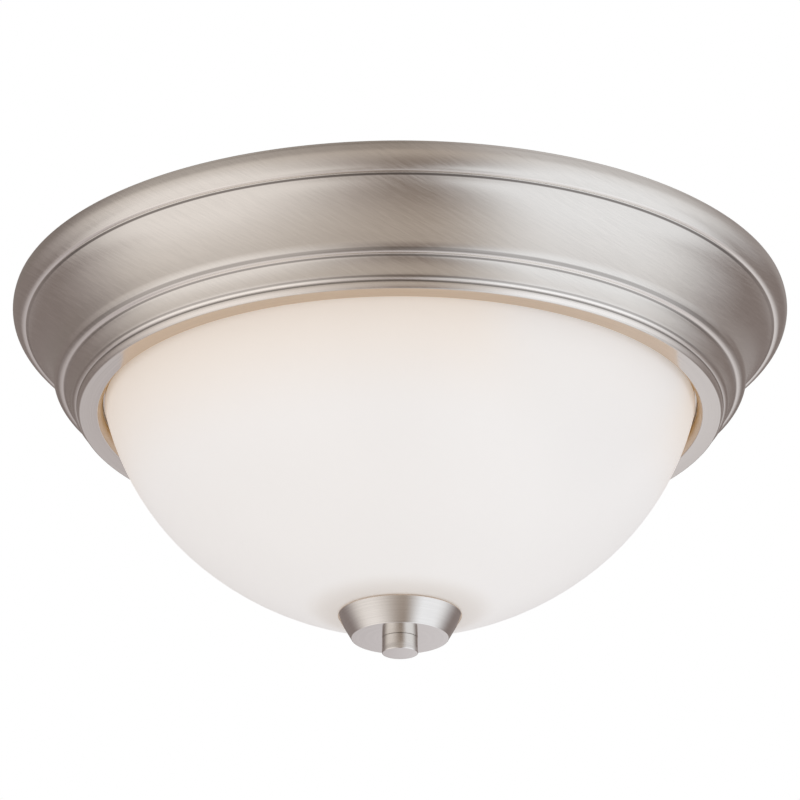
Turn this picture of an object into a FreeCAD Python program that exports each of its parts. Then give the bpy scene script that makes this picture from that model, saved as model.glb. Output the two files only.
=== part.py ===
import FreeCAD, Part
import math
import os

V = FreeCAD.Vector

# Flush mount ceiling light: a spun pan with a stepped moulding, an opal glass bowl and a finial.
# Millimetres. The origin is on the ceiling plane at the centre of the pan, +Z is up, and the
# lamp axes run along X. Plain names ending in _r are radii, and names ending in _z are heights.

# ---- driving dimensions -------------------------------------------------------------------

sheet = 0.9            # wall of the spun pan
rim_r = 168.3          # pan at the ceiling
hem = 4.8              # width of the rim turned in along the ceiling
crease_r = 161.9       # foot of the outer band
crease_z = -12.3
shoulder_r = 149.4     # rounded shoulder under the big cove
shoulder_z = -34.4
cove_depth = 3.2       # hollow of the big cove, measured square to its chord
ledger_r = 144.8       # crease under the thin bead
ledger_z = -38.3
small_cove_depth = 1.0
bead_r = 141.2         # lower bead
bead_z = -45.9
lip_outer_r = 138.9
lip_inner_r = 130.6
lip_z = -49.4          # lowest face of the pan
roll_r = 2.4           # curl of the lip's inner edge
seat_z = -44.4         # ledge over the bowl's rim
recess_r = 120.5       # recess wall at the ledge
recess_top_r = 117.0   # recess wall at the plate
plate_z = -15.0        # room side of the pan's inner plate
plate_bend_r = 1.5

bowl_rim_r = 127.3
bowl_rim_z = seat_z - 0.5
bowl_wall = 3.0
bowl_join_r = 87.3     # where the shoulder arc meets the crown arc
bowl_join_z = -108.3
bowl_join_slope = 39.8   # degrees from level, of the bowl's surface at that join
bowl_hole_r = 6.6
bowl_cup_gap = 0.45    # from the cup's rim up to the glass

cup_rim_r = 26.1       # finial cup, against the bowl
cup_rim_z = -137.6
cup_disc_r = 20.5
cup_disc_z = -147.9
cup_wall = 0.9
knob_r = 7.6
knob_z = -154.6
knob_round = 0.45      # rounding of the knob's edges
knob_shank_r = 6.4
knob_shank_top_z = -141.9
knob_bore_top = 1.2    # metal left under the blind thread

rod_r = 4.85           # hollow threaded rod, 1/8 IP
rod_bore_r = 2.9
rod_end_z = knob_z + knob_bore_top + 1.0
thread_gap = 0.07      # running clearance of the knob's thread on the rod

bar_length = 104.0     # crossbar against the outlet box
bar_width = 19.0
bar_thick = 1.8
box_screw_spacing = 70.0
slot_half_width = 2.3
slot_length = 16.0
ground_x = 19.0        # earth screw, along the crossbar
ground_r = 2.35
nut_flats = 14.3
nut_thick = 4.0
washer_thick = 1.0
tooth_count = 12
rivet_r = 1.9          # holes of the rivets that hold the lamp brackets

wire_hole_y = 27.0
wire_hole_r = 6.5
bushing_bore_r = 4.4

pad_inner_r = 57.0     # fibre insulation pad behind the inner plate
pad_outer_r = 110.0
pad_top_z = -3.0
pad_bottom_z = -13.2

lamp_y = 40.0          # each lamp axis stands this far from the rod
lamp_z = -50.0
bracket_x = -90.8      # inner face of the upright leg of the lamp bracket
bracket_thick = 1.2
bracket_width = 24.0
bracket_foot = 22.0
holder_screw_y = 8.5   # holes of the lamp holder's screws, to each side of its axis
socket_length = 36.0
socket_back_r = 16.5
socket_mouth_r = 19.0
shell_outer_r = 13.95
shell_wall = 0.55
shell_depth = 28.0
bulb_tip_x = -81.4     # centre contact of the bulb
bulb_length = 106.0
bulb_r = 30.0
cap_r = 13.05
cap_length = 23.0
thread_pitch = 3.63    # bulb cap, 7 threads per inch
thread_depth = 0.75

# worked out from these

bowl_hole_z = cup_rim_z - 1.2          # outside of the glass at the edge of its hole
slant = math.sin(math.pi / 4)          # the middle of a quarter circle, as a share of its radius each way
plate_bend_mid = plate_bend_r * (1 - slant)

# ---- helpers --------------------------------------------------------------------------------


def point(rz):
    """A point of a turned section: radius along X, height along Z."""
    return V(rz[0], 0, rz[1])


def section(start, *steps):
    """Closed face in the XZ plane. A step is an end point, or a pair (mid point, end point) for an arc."""
    edges = []
    here = point(start)
    for step in steps + (start,):
        if isinstance(step[0], tuple):
            there = point(step[1])
            edges.append(Part.Arc(here, point(step[0]), there).toShape())
        else:
            there = point(step)
            if here.distanceToPoint(there) > 1e-6:
                edges.append(Part.LineSegment(here, there).toShape())
        here = there
    return Part.Face(Part.Wire(edges))


def turned(start, *steps):
    """Solid of revolution of a section about Z."""
    return section(start, *steps).revolve(V(0, 0, 0), V(0, 0, 1), 360)


def bulge(start, end, depth):
    """Arc step from start to end that stands depth off the chord, to the right of the way it runs."""
    run, rise = end[0] - start[0], end[1] - start[1]
    length = math.hypot(run, rise)
    mid = ((start[0] + end[0]) / 2 + rise / length * depth, (start[1] + end[1]) / 2 - run / length * depth)
    return (mid, end)


def disc(radius, low_z, high_z, x=0.0, y=0.0):
    """Upright cylinder between two heights."""
    return Part.makeCylinder(radius, high_z - low_z, V(x, y, low_z))


def ring(outer_r, inner_r, low_z, high_z):
    """Upright tube between two heights."""
    return disc(outer_r, low_z, high_z).cut(disc(inner_r, low_z - 1, high_z + 1))


def block(low, high):
    """Box between two corners."""
    return Part.makeBox(high[0] - low[0], high[1] - low[1], high[2] - low[2], V(*low))


def hexagon(flats, low_z, high_z):
    """Hexagonal prism about Z with chamfered corners."""
    corner = flats / math.sqrt(3)
    corners = [V(corner * math.cos(math.radians(a)), corner * math.sin(math.radians(a)), low_z)
               for a in range(0, 361, 60)]
    prism = Part.Face(Part.makePolygon(corners)).extrude(V(0, 0, high_z - low_z))
    chamfer = 0.6
    blunt = turned((0, low_z), (flats / 2, low_z), (corner, low_z + chamfer), (corner, high_z - chamfer),
                   (flats / 2, high_z), (0, high_z))
    return prism.common(blunt)


def along_x(shape, x):
    """Lay a turned shape along +X, its origin on the front lamp's axis at x."""
    laid = shape.copy()
    laid.rotate(V(0, 0, 0), V(0, 1, 0), 90)
    laid.translate(V(x, -lamp_y, lamp_z))
    return laid


def half_turn(shape):
    """The rear lamp's copy of a front part."""
    return shape.copy().rotate(V(0, 0, 0), V(0, 0, 1), 180)


# ---- pan --------------------------------------------------------------------------------------


def room_side():
    """Steps of the pan's outline from the ceiling rim to its centre, on the side that faces the room."""
    roll_mid = (lip_inner_r - roll_r * slant, lip_z + roll_r * (1 - slant))
    wall_r = lip_inner_r - roll_r
    cove_end = (shoulder_r - 0.2, shoulder_z + 1.8)
    small_cove_end = (bead_r - 0.9, bead_z + 0.9)
    return [
        bulge((rim_r, 0), (crease_r + 2.3, crease_z + 1.3), -1.2),
        ((crease_r + 1.8, crease_z + 0.3), (crease_r + 0.8, crease_z)),
        (crease_r - 0.1, crease_z - 0.2),
        bulge((crease_r - 0.1, crease_z - 0.2), cove_end, cove_depth),
        ((shoulder_r, shoulder_z), (shoulder_r - 1.0, shoulder_z - 1.3)),
        (ledger_r + 2.2, ledger_z + 1.7),
        ((ledger_r + 2.5, ledger_z + 0.9), (ledger_r + 1.8, ledger_z + 0.3)),
        (ledger_r, ledger_z),
        bulge((ledger_r, ledger_z), small_cove_end, small_cove_depth),
        ((bead_r, bead_z), (bead_r - 0.9, bead_z - 0.9)),
        (lip_outer_r + 0.3, bead_z - 1.1),
        (lip_outer_r, lip_z + 0.6),
        ((lip_outer_r - 0.18, lip_z + 0.18), (lip_outer_r - 0.6, lip_z)),
        (lip_inner_r, lip_z),
        (roll_mid, (wall_r, lip_z + roll_r)),
        (wall_r, seat_z),
        (recess_r, seat_z),
        (recess_top_r, plate_z - plate_bend_r),
        ((recess_top_r - plate_bend_mid, plate_z - plate_bend_mid), (recess_top_r - plate_bend_r, plate_z)),
        (0, plate_z),
    ]


def ceiling_side():
    """Steps of the outline back from the centre to the rim, one sheet's thickness behind the room side."""
    roll_back = roll_r - sheet
    roll_mid = (lip_inner_r - roll_back * slant, lip_z + sheet + roll_back * (1 - slant))
    wall_r = lip_inner_r - roll_back
    cove_foot = (shoulder_r - 1.1, shoulder_z + 1.8)
    cove_head = (crease_r - 0.9, crease_z + 0.5)
    small_cove_foot = (bead_r - 1.8, bead_z + 0.7)
    small_cove_head = (ledger_r - 0.8, ledger_z + 0.7)
    return [
        (0, plate_z + sheet),
        (recess_top_r - plate_bend_r, plate_z + sheet),
        ((recess_top_r + 0.2, plate_z + 0.2), (recess_top_r + sheet, plate_z - plate_bend_r)),
        (recess_r + sheet - 0.1, seat_z + sheet),
        (wall_r, seat_z + sheet),
        (wall_r, lip_z + roll_r),
        (roll_mid, (lip_inner_r, lip_z + sheet)),
        (lip_outer_r - sheet, lip_z + sheet),
        (lip_outer_r - sheet + 0.3, bead_z - 0.6),
        small_cove_foot,
        bulge(small_cove_foot, small_cove_head, -small_cove_depth),
        (ledger_r + 1.3, ledger_z + 1.3),
        (shoulder_r - 1.1, shoulder_z - 0.3),
        cove_foot,
        bulge(cove_foot, cove_head, -cove_depth),
        (crease_r + 1.0, crease_z + 0.9),
        bulge((crease_r + 1.0, crease_z + 0.9), (rim_r - sheet, -sheet), 1.2),
        (rim_r - hem, -sheet),
        (rim_r - hem, 0),
    ]


def bracket_holes():
    """Places of the rivet holes in the pan's plate, front bracket first."""
    x = bracket_x + bracket_foot * 0.5
    front = [(x, -lamp_y - 7), (x, -lamp_y + 7)]
    return front + [(-hx, -hy) for hx, hy in front]


def canopy_pan():
    """Spun pan with its moulding, glass ledge, recess and drilled plate."""
    pan = turned((rim_r, 0), *(room_side() + ceiling_side()))
    low, high = plate_z - 2, plate_z + sheet + 2
    pan = pan.cut(disc(rod_r + 0.35, low, high))
    pan = pan.cut(disc(wire_hole_r, low, high, 0, wire_hole_y))
    for x, y in bracket_holes():
        pan = pan.cut(disc(rivet_r, low, high, x, y))
    return pan


# ---- hanging hardware ---------------------------------------------------------------------------


def crossbar():
    """Flat bar with a tapped centre, two slots for the box screws and a tapped ground hole."""
    half = bar_length / 2
    bar = block((-half, -bar_width / 2, -bar_thick), (half, bar_width / 2, 0))
    ends = [e for e in bar.Edges if e.Length < bar_thick + 0.1]
    bar = bar.makeFillet(bar_width / 2 - 0.5, ends)
    bar = bar.cut(disc(rod_r + 0.05, -bar_thick - 1, 1))
    bar = bar.cut(disc(ground_r, -bar_thick - 1, 1, ground_x, 0))
    reach = slot_length / 2 - slot_half_width
    for side in (-1, 1):
        x = side * box_screw_spacing / 2
        slot = block((x - reach, -slot_half_width, -bar_thick - 1), (x + reach, slot_half_width, 1))
        for end in (x - reach, x + reach):
            slot = slot.fuse(disc(slot_half_width, -bar_thick - 1, 1, end, 0))
        bar = bar.cut(slot)
    return bar


def centre_rod():
    """Hollow threaded rod from the crossbar to the knob."""
    return turned((rod_bore_r, -0.1), (rod_r - 0.5, -0.1), (rod_r, -0.6), (rod_r, rod_end_z + 0.6),
                  (rod_r - 0.5, rod_end_z), (rod_bore_r, rod_end_z))


def nut(top_z):
    """Hexagon nut on the rod."""
    low = top_z - nut_thick
    return hexagon(nut_flats, low, top_z).cut(disc(rod_r + 0.05, low - 1, top_z + 1))


def rod_nuts():
    """Lock nut under the crossbar, stop nut over the pan's plate and holding nut under it."""
    return Part.makeCompound([nut(-bar_thick), nut(plate_z + sheet + nut_thick), nut(plate_z - washer_thick)])


def tooth_washer():
    """External tooth lock washer between the pan and its holding nut."""
    low, high = plate_z - washer_thick, plate_z
    washer = ring(8.2, rod_r + 0.25, low, high)
    for i in range(tooth_count):
        tooth = block((7.6, -1.0, low), (9.9, 1.0, high))
        tooth.rotate(V(0, 0, 0), V(0, 0, 1), 360.0 / tooth_count * i)
        washer = washer.fuse(tooth)
    return washer.removeSplitter()


def ground_screw():
    """Hexagon washer head screw for the earth wire, under the crossbar."""
    head = hexagon(6.4, -bar_thick - 4.0, -bar_thick - 0.8)
    flange = disc(4.4, -bar_thick - 0.8, -bar_thick)
    shank = disc(ground_r - 0.05, -bar_thick, -0.1)
    slot = block((-5, -0.5, -bar_thick - 5), (5, 0.5, -bar_thick - 2.8))
    screw = head.fuse([flange, shank]).cut(slot).removeSplitter()
    screw.translate(V(ground_x, 0, 0))
    return screw


def wire_bushing():
    """Snap-in bushing that lines the wire hole in the pan's plate."""
    top, low = plate_z + sheet, plate_z
    bushing = turned((bushing_bore_r, top + 1.6), (5.6, top + 1.6), (wire_hole_r + 1.9, top + 0.9),
                     (wire_hole_r + 1.9, top), (wire_hole_r - 0.1, top), (wire_hole_r - 0.1, low),
                     (wire_hole_r + 1.0, low), (wire_hole_r + 0.6, low - 1.6), (5.6, low - 3.0),
                     (bushing_bore_r, low - 3.0))
    bushing.translate(V(0, wire_hole_y, 0))
    return bushing


def insulation_pad():
    """Fibre mat ring that lies on the ceiling side of the plate, round the outlet box."""
    edge = 2.5
    mid_z = (pad_top_z + pad_bottom_z) / 2
    return turned((pad_inner_r + edge, pad_bottom_z), (pad_outer_r - edge, pad_bottom_z),
                  ((pad_outer_r, mid_z), (pad_outer_r - edge, pad_top_z)), (pad_inner_r + edge, pad_top_z),
                  ((pad_inner_r, mid_z), (pad_inner_r + edge, pad_bottom_z)))


# ---- lamp holders -------------------------------------------------------------------------------


def socket_bracket():
    """Angle bracket: a foot riveted under the plate and an upright leg behind the lamp holder."""
    low_y, high_y = -lamp_y - bracket_width / 2, -lamp_y + bracket_width / 2
    back = bracket_x - bracket_thick
    foot = block((back, low_y, plate_z - bracket_thick), (bracket_x + bracket_foot, high_y, plate_z))
    leg = block((back, low_y, lamp_z - 13), (bracket_x, high_y, plate_z))
    bracket = foot.fuse(leg).removeSplitter()
    for x, y in bracket_holes()[:2]:
        bracket = bracket.cut(disc(rivet_r, plate_z - 4, plate_z + 4, x, y))
    for side in (-1, 1):
        bracket = bracket.cut(along_x(disc(1.6, -3, 3, 0, side * holder_screw_y), bracket_x))
    bracket = bracket.cut(along_x(disc(3.2, -3, 3, -6.5, 0), bracket_x))
    corners = [e for e in bracket.Edges
               if abs(e.Length - bracket_thick) < 0.05 and e.BoundBox.ZMax < lamp_z]
    return bracket.makeFillet(5.0, corners)


def bracket_rivets():
    """Tubular rivets that hold both brackets to the plate."""
    foot_z = plate_z - bracket_thick
    top_z = plate_z + sheet
    rivets = []
    for x, y in bracket_holes():
        rivet = turned((0, foot_z - 1.1), (1.6, foot_z - 1.1), ((2.9, foot_z - 0.8), (3.5, foot_z)),
                       (rivet_r - 0.05, foot_z), (rivet_r - 0.05, top_z), (3.1, top_z), (2.7, top_z + 0.8),
                       (1.1, top_z + 0.8), (1.1, top_z - 1.4), (0, top_z - 1.4))
        rivet.translate(V(x, y, 0))
        rivets.append(rivet)
    return Part.makeCompound(rivets)


def socket_body():
    """Glazed porcelain lamp holder, open towards the bulb."""
    bore_r = shell_outer_r + 0.15
    floor = socket_length - shell_depth
    step = ((socket_back_r + 0.7, 11.2), (socket_mouth_r, 12.5))
    mouth = ((socket_mouth_r - 0.45, socket_length - 0.45), (socket_mouth_r - 1.5, socket_length))
    body = turned((0, 0), (socket_back_r - 1, 0), (socket_back_r, 1), (socket_back_r, 9), step,
                  (socket_mouth_r, socket_length - 1.5), mouth, (bore_r + 0.8, socket_length),
                  (bore_r, socket_length - 0.8), (bore_r, floor), (0, floor))
    for side in (-1, 1):
        body = body.cut(disc(1.3, -1, 6, 0, side * holder_screw_y))
    return along_x(body, bracket_x)


def socket_shell():
    """Screw shell that lines the lamp holder."""
    low = socket_length - shell_depth + 0.1
    high = socket_length - 2.0
    inner = shell_outer_r - shell_wall
    shell = turned((6.0, low), (shell_outer_r - 1, low), (shell_outer_r, low + 1), (shell_outer_r, high),
                   (inner, high), (inner, low + 1 + shell_wall / 2), (inner - 0.7, low + shell_wall),
                   (6.0, low + shell_wall))
    return along_x(shell, bracket_x)


def socket_contact():
    """Spring tab at the foot of the lamp holder, under the bulb's centre contact."""
    low = socket_length - shell_depth
    tip = bulb_tip_x - bracket_x - 0.3
    tab = block((-2.5, -3.0, low), (4.5, 3.0, low + 0.4))
    leaf = turned((0, low + 0.4), (2.6, low + 0.4), (1.4, tip), (0, tip))
    return along_x(tab.fuse(leaf).removeSplitter(), bracket_x)


def socket_screws():
    """Two round head screws that hold the lamp holder on its bracket."""
    screws = []
    for side in (-1, 1):
        back = -bracket_thick
        head = ((1.9, back - 1.35), (2.7, back))
        screw = turned((0, back - 1.9), head, (1.25, back), (1.25, 5.0), (0, 5.6))
        screw = screw.cut(block((-3, -0.35, back - 3), (3, 0.35, back - 0.9)))
        screw.translate(V(0, side * holder_screw_y, 0))
        screws.append(screw)
    return along_x(Part.makeCompound(screws), bracket_x)


# ---- bulbs --------------------------------------------------------------------------------------


def bulb_glass():
    """Hollow pear-shaped envelope, its neck inside the cap."""
    wall = 1.0
    start = 24.5
    centre = bulb_length - bulb_r
    inner_r = bulb_r - wall
    envelope = turned(
        (cap_r - 1.6, start), ((15.6, 38.0), (23.4, 53.5)), ((28.3, 64.5), (bulb_r, centre)),
        ((bulb_r * slant, centre + bulb_r * slant), (0, bulb_length)), (0, bulb_length - wall),
        ((inner_r * slant, centre + inner_r * slant), (inner_r, centre)),
        ((27.35, 64.8), (22.6, 54.1)), ((14.8, 38.6), (cap_r - 2.6, start)))
    return along_x(envelope, bulb_tip_x)


def bulb_cap():
    """Threaded metal cap; the thread's crests are even rings."""
    low = 2.6
    high = low + cap_length
    start = (cap_r - 3.0, low)
    steps = [(cap_r - 1.9, low), (cap_r - 0.9, low + 1.2)]
    z = low + 2.4
    while z + thread_pitch < high - 1.5:
        root = (cap_r - thread_depth, z)
        steps += [root, ((cap_r, z + thread_pitch / 2), (cap_r - thread_depth, z + thread_pitch * 0.98))]
        z += thread_pitch
    steps += [(cap_r - thread_depth, z + 0.2), (cap_r - thread_depth, high - 0.6), (cap_r - 0.3, high)]
    steps += [(cap_r - 1.25, high), (cap_r - 1.35, low + 2.4), (cap_r - 3.0, low + 1.0)]
    return along_x(turned(start, *steps), bulb_tip_x)


def bulb_insulator():
    """Black glass button between the cap and the centre contact."""
    cone = turned((4.2, 1.1), (5.2, 1.1), (cap_r - 3.1, 2.5), (cap_r - 3.1, 3.5), (4.2, 3.5))
    return along_x(cone, bulb_tip_x)


def bulb_contact():
    """Solder button on the tip of the bulb."""
    return along_x(turned((0, 0), ((3.2, 0.35), (4.7, 1.0)), (4.1, 1.0), (4.1, 3.0), (0, 3.0)), bulb_tip_x)


# ---- bowl and finial ------------------------------------------------------------------------------


def arc_leaving(start, angle, end):
    """Arc step from start to end that leaves start at an angle, in degrees from the +radius direction."""
    chord = math.degrees(math.atan2(end[1] - start[1], end[0] - start[0]))
    half = math.hypot(end[0] - start[0], end[1] - start[1]) / 2
    return bulge(start, end, half * math.tan(math.radians(chord - angle) / 2))


def bowl_outline(inset, hole_z):
    """Points and arcs of the bowl's surface, inset from the outside, from the rim down to the hole."""
    slope = math.radians(bowl_join_slope)
    rim = (bowl_rim_r - inset, bowl_rim_z)
    join = (bowl_join_r - inset * math.sin(slope), bowl_join_z + inset * math.cos(slope))
    foot = (cup_rim_r, cup_rim_z + bowl_cup_gap + inset)
    hole = (bowl_hole_r, hole_z)
    shoulder = arc_leaving(join, bowl_join_slope, rim)
    crown = arc_leaving(join, bowl_join_slope - 180, foot)
    return rim, (shoulder[0], join), crown, bulge(foot, hole, -0.25)


def glass_bowl():
    """Opal glass bowl with a flat ground rim and a centre hole."""
    rim, shoulder, crown, base = bowl_outline(0, bowl_hole_z)
    rim_in, shoulder_in, crown_in, base_in = bowl_outline(bowl_wall, bowl_hole_z + bowl_wall)
    join_in = shoulder_in[1]
    foot_in = crown_in[1]
    return turned(rim, shoulder, crown, base, base_in[1], (base_in[0], foot_in), (crown_in[0], join_in),
                  (shoulder_in[0], rim_in))


def bowl_grommet():
    """Soft bushing that keeps the rod off the edge of the glass."""
    low = bowl_hole_z
    high = low + bowl_wall
    neck = bowl_hole_r - 0.1
    bore = rod_r + 0.35
    return turned((bore, low - 1.5), (neck + 1.6, low - 1.5), (neck + 2.4, low - 0.15), (neck, low - 0.15),
                  (neck, high + 0.15), (neck + 2.4, high + 0.15), (neck + 1.6, high + 1.5), (bore, high + 1.5))


def finial_cup():
    """Turned cup that covers the hole and bears on the bowl."""
    low = cup_disc_z
    hole_r = knob_shank_r + 0.15
    rim_edge = ((cup_rim_r - 0.05, cup_rim_z - 0.1), (cup_rim_r, cup_rim_z - 0.4))
    disc_edge = ((cup_disc_r, low + 0.1), (cup_disc_r - 0.3, low))
    return turned((cup_rim_r - 0.4, cup_rim_z), rim_edge, (cup_disc_r + 0.15, low + 0.35), disc_edge,
                  (hole_r, low), (hole_r, low + cup_wall), (cup_disc_r - 1.0, low + cup_wall),
                  (cup_rim_r - 1.2, cup_rim_z - 1.0), (cup_rim_r - 0.9, cup_rim_z))


def finial_knob():
    """Round knob with a threaded shank that draws the cup up against the bowl."""
    bore = rod_r + thread_gap
    top = cup_disc_z - 0.05
    mid = knob_round * (1 - slant)
    low_edge = ((knob_r - mid, knob_z + mid), (knob_r, knob_z + knob_round))
    high_edge = ((knob_r - mid, top - mid), (knob_r - knob_round, top))
    return turned((0, knob_z), (knob_r - knob_round, knob_z), low_edge, (knob_r, top - knob_round), high_edge,
                  (knob_shank_r, top), (knob_shank_r, knob_shank_top_z), (bore, knob_shank_top_z),
                  (bore, knob_z + knob_bore_top), (0, knob_z + knob_bore_top))


# ---- output -----------------------------------------------------------------------------------------

single_parts = [canopy_pan, crossbar, centre_rod, rod_nuts, tooth_washer, ground_screw, wire_bushing,
                insulation_pad, bracket_rivets, glass_bowl, bowl_grommet, finial_cup, finial_knob]
lamp_parts = [socket_bracket, socket_body, socket_shell, socket_contact, socket_screws,
              bulb_glass, bulb_cap, bulb_insulator, bulb_contact]


def main():
    """Write one STEP file per piece."""
    os.makedirs("parts", exist_ok=True)
    shapes = {make.__name__: make() for make in single_parts}
    for make in lamp_parts:
        front = make()
        shapes[make.__name__ + "_front"] = front
        shapes[make.__name__ + "_rear"] = half_turn(front)
    for name, shape in shapes.items():
        print(f"{name}: {len(shape.Solids)} solid(s), volume {shape.Volume:.0f} mm3, valid {shape.isValid()}")
        shape.exportStep(f"parts/{name}.step")


main()
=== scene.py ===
import logging
import math
from dataclasses import dataclass, field
from enum import Enum
from typing import Any

import bpy
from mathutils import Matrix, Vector


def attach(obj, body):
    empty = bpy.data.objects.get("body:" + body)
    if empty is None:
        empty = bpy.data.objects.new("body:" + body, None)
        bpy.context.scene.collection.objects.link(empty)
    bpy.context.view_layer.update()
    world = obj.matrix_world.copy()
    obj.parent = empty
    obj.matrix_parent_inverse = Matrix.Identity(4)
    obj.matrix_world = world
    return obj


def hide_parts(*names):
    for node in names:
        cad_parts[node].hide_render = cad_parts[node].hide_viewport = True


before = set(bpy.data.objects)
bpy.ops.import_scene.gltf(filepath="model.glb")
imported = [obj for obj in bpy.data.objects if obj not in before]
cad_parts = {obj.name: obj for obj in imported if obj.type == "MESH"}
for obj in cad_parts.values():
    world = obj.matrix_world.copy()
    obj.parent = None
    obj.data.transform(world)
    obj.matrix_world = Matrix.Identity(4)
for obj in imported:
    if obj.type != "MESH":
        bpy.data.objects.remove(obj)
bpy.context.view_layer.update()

# Flush mount ceiling light: the looks of every piece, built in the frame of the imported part.
# Sizes are in millimetres in the classes below and become metres where a mesh is made.

log = logging.getLogger("ceiling_light")
logging.basicConfig(level=logging.INFO, format="%(name)s: %(message)s")

Point = tuple[float, float]
Triple = tuple[float, float, float]
Shade = tuple[float, float, float]
Socket = bpy.types.NodeSocket
Thing = bpy.types.Object

MM = 0.001
FULL_TURN = 2 * math.pi
SECTION_WELD = 1e-7
MESH_WELD = 1e-6
ORIGIN, ACROSS, UP = Vector((0, 0, 0)), Vector((1, 0, 0)), Vector((0, 0, 1))

nodes: dict[str, Thing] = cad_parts


# ---- modelling ----


@dataclass
class Outline:
    """Half section of a turned piece, walked from point to point.

    A point is a radius and a height along the piece's axis, in millimetres. An arc is walked in straight
    runs that turn by chord degrees at most.
    """

    start: Point
    chord: float = 7.0
    curve_runs: int = 12
    points: list[Point] = field(init=False)

    def __post_init__(self) -> None:
        """Start the walk."""
        self.points = [self.start]

    def line(self, *ends: Point) -> "Outline":
        """Walk straight to each point in turn."""
        self.points.extend(ends)
        return self

    def arc(self, mid: Point, end: Point) -> "Outline":
        """Walk along the arc through a middle point.

        Args:
            mid: A point that the arc passes through.
            end: Where the arc ends.

        Returns:
            The outline itself.
        """
        a, b, c = (complex(*p) for p in (self.points[-1], mid, end))
        ratio = (c - a) / (b - a)
        centre = a + (b - a) * (ratio - abs(ratio) ** 2) / (ratio - ratio.conjugate())
        angles = [math.atan2((p - centre).imag, (p - centre).real) for p in (a, b, c)]
        turned = sum((after - before + math.pi) % FULL_TURN - math.pi
                     for before, after in zip(angles, angles[1:]))
        runs = max(2, math.ceil(abs(math.degrees(turned)) / self.chord))
        radius = abs(a - centre)
        for i in range(1, runs):
            angle = angles[0] + turned * i / runs
            self.points.append((centre.real + radius * math.cos(angle),
                                centre.imag + radius * math.sin(angle)))
        self.points.append(end)
        return self

    def bulge(self, end: Point, depth: float) -> "Outline":
        """Walk along an arc that stands off its chord, to the right of the way it runs.

        Args:
            end: Where the arc ends.
            depth: Height of the arc over its chord.

        Returns:
            The outline itself.
        """
        here = self.points[-1]
        run, rise = end[0] - here[0], end[1] - here[1]
        length = math.hypot(run, rise)
        mid = ((here[0] + end[0]) / 2 + rise / length * depth, (here[1] + end[1]) / 2 - run / length * depth)
        return self.arc(mid, end)

    def curve(self, pull: Point, end: Point) -> "Outline":
        """Walk along a parabola that sets out towards a point and comes in from it.

        Args:
            pull: The point, off the curve.
            end: Where the curve ends.

        Returns:
            The outline itself.
        """
        here = self.points[-1]
        for i in range(1, self.curve_runs + 1):
            t = i / self.curve_runs
            parts = list(zip(((1 - t) ** 2, 2 * t * (1 - t), t ** 2), (here, pull, end)))
            self.points.append((sum(share * place[0] for share, place in parts),
                                sum(share * place[1] for share, place in parts)))
        return self


@dataclass(frozen=True)
class Spindle:
    """Axis that a piece is turned about: where it starts, which way it runs, and one way out from it."""

    foot: Vector
    along: Vector
    out: Vector

    def place(self, point: Point) -> Vector:
        """Put an outline's point in the frame, in metres."""
        return (self.foot + self.out * point[0] + self.along * point[1]) * MM


UPRIGHT = Spindle(ORIGIN, UP, ACROSS)


def pick(*pieces: Thing) -> None:
    """Select these pieces and nothing else, and make the first of them the active one.

    Args:
        pieces: The pieces, or none to deselect everything.
    """
    bpy.ops.object.select_all(action="DESELECT")
    for piece in pieces:
        piece.select_set(True)
    if pieces:
        bpy.context.view_layer.objects.active = pieces[0]


def draw(name: str, places: list[Vector]) -> Thing:
    """Draw one point out along a row of places, and leave the new mesh open for editing.

    Args:
        name: The new piece's name.
        places: The places, in metres.

    Returns:
        The new object.
    """
    pick()
    bpy.ops.mesh.primitive_plane_add(size=MM)
    piece = bpy.context.object
    piece.name = name
    piece.data.name = name
    bpy.ops.object.mode_set(mode="EDIT")
    bpy.ops.mesh.select_mode(type="VERT")
    bpy.ops.mesh.select_all(action="SELECT")
    bpy.ops.mesh.merge(type="CENTER")
    bpy.ops.transform.translate(value=places[0])
    for before, after in zip(places, places[1:]):
        bpy.ops.mesh.extrude_region_move(TRANSFORM_OT_translate={"value": after - before})
    return piece


def close_piece() -> None:
    """Weld the open edit mesh, face it outwards and leave edit mode."""
    bpy.ops.mesh.select_all(action="SELECT")
    bpy.ops.mesh.remove_doubles(threshold=MESH_WELD)
    bpy.ops.mesh.normals_make_consistent(inside=False)
    bpy.ops.mesh.select_all(action="DESELECT")
    bpy.ops.object.mode_set(mode="OBJECT")


def turn(name: str, outline: Outline, spindle: Spindle = UPRIGHT, steps: int = 192,
         ring: bool = True) -> Thing:
    """Turn an outline into a closed piece.

    Args:
        name: The piece's name.
        outline: The section.
        spindle: The axis.
        steps: Facets round the piece.
        ring: Whether the outline closes on itself; otherwise both its ends lie on the axis.

    Returns:
        The turned object.
    """
    places = [spindle.place(p) for p in outline.points]
    piece = draw(name, places + places[:1] if ring else places)
    bpy.ops.mesh.select_all(action="SELECT")
    bpy.ops.mesh.remove_doubles(threshold=SECTION_WELD)
    bpy.ops.mesh.spin(steps=steps, angle=FULL_TURN, center=spindle.foot * MM, axis=spindle.along)
    close_piece()
    return piece


def modify(piece: Thing, kind: str, **settings: Any) -> None:
    """Add a modifier and apply it.

    Args:
        piece: The object.
        kind: The modifier's type.
        settings: Its properties.
    """
    pick(piece)
    modifier = piece.modifiers.new(kind.title(), kind)
    for key, value in settings.items():
        setattr(modifier, key, value)
    bpy.ops.object.modifier_apply(modifier=modifier.name)


def soften(piece: Thing, angle: float) -> None:
    """Shade a piece smooth except across edges sharper than an angle in degrees."""
    pick(piece)
    bpy.ops.object.shade_smooth_by_angle(angle=math.radians(angle))


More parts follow.
